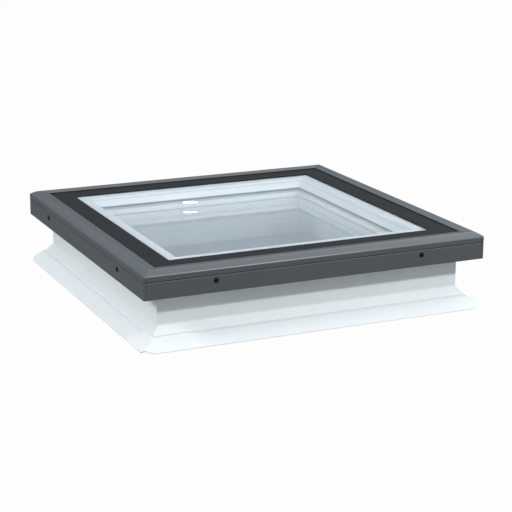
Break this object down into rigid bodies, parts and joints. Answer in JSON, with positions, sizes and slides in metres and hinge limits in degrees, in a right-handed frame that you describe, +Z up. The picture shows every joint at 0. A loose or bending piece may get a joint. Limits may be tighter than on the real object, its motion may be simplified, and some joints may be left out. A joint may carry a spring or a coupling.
{
  "type": "roof skylight",
  "caption": "Fixed flat-roof skylight: white PVC kerb with an insulating glass unit under a glazed dark grey aluminium cover screwed on from the sides.",
  "frame": {"origin": "middle of the underside, where the kerb stands on the roof deck", "axes": "+Z up through the glass, +X along the front side, +Y towards the back"},
  "size_m": [1.016, 1.016, 0.2189],
  "materials": {
    "white_pvc": "smooth white uPVC with a soft sheen",
    "white_frame_pvc": "smooth white uPVC seen under the glass",
    "grey_aluminium": "fine matt anthracite powder coat",
    "black_border": "matt black border with a soft sheen",
    "cover_glass": "clear toughened float glass",
    "unit_glass": "clear toughened glass",
    "laminated_glass": "clear laminated safety glass",
    "spacer_bar": "light grey warm-edge spacer",
    "edge_sealant": "dark sealant",
    "grey_gasket": "dark grey glazing gasket",
    "black_rubber": "matt black EPDM",
    "foam_tape": "closed-cell foam tape",
    "block_plastic": "hard plastic blocks",
    "cast_aluminium": "raw extruded aluminium",
    "zinc_steel": "zinc plated steel",
    "black_screw": "black coated screw heads"
  },
  "bodies": {
    "root": {"kerb_frame": "white_pvc", "frame_seal": "black_rubber", "glazing_frame": "white_frame_pvc", "frame_screws": "zinc_steel", "lower_gasket": "grey_gasket", "unit_inner_pane": "laminated_glass", "unit_spacer": "spacer_bar", "unit_edge_seal": "edge_sealant", "unit_outer_pane": "unit_glass", "upper_gasket": "grey_gasket", "setting_blocks": "block_plastic", "inner_tape": "foam_tape", "cover_pane": "cover_glass", "pane_bond": "edge_sealant", "border_gasket": "black_border", "cover_front": "grey_aluminium", "cover_right": "grey_aluminium", "cover_back": "grey_aluminium", "cover_left": "grey_aluminium", "corner_keys": "cast_aluminium", "cover_brackets": "zinc_steel", "bracket_screws": "zinc_steel", "bracket_nuts": "zinc_steel", "cover_screws": "black_screw", "screw_washers": "black_rubber"}
  },
  "joints": []
}
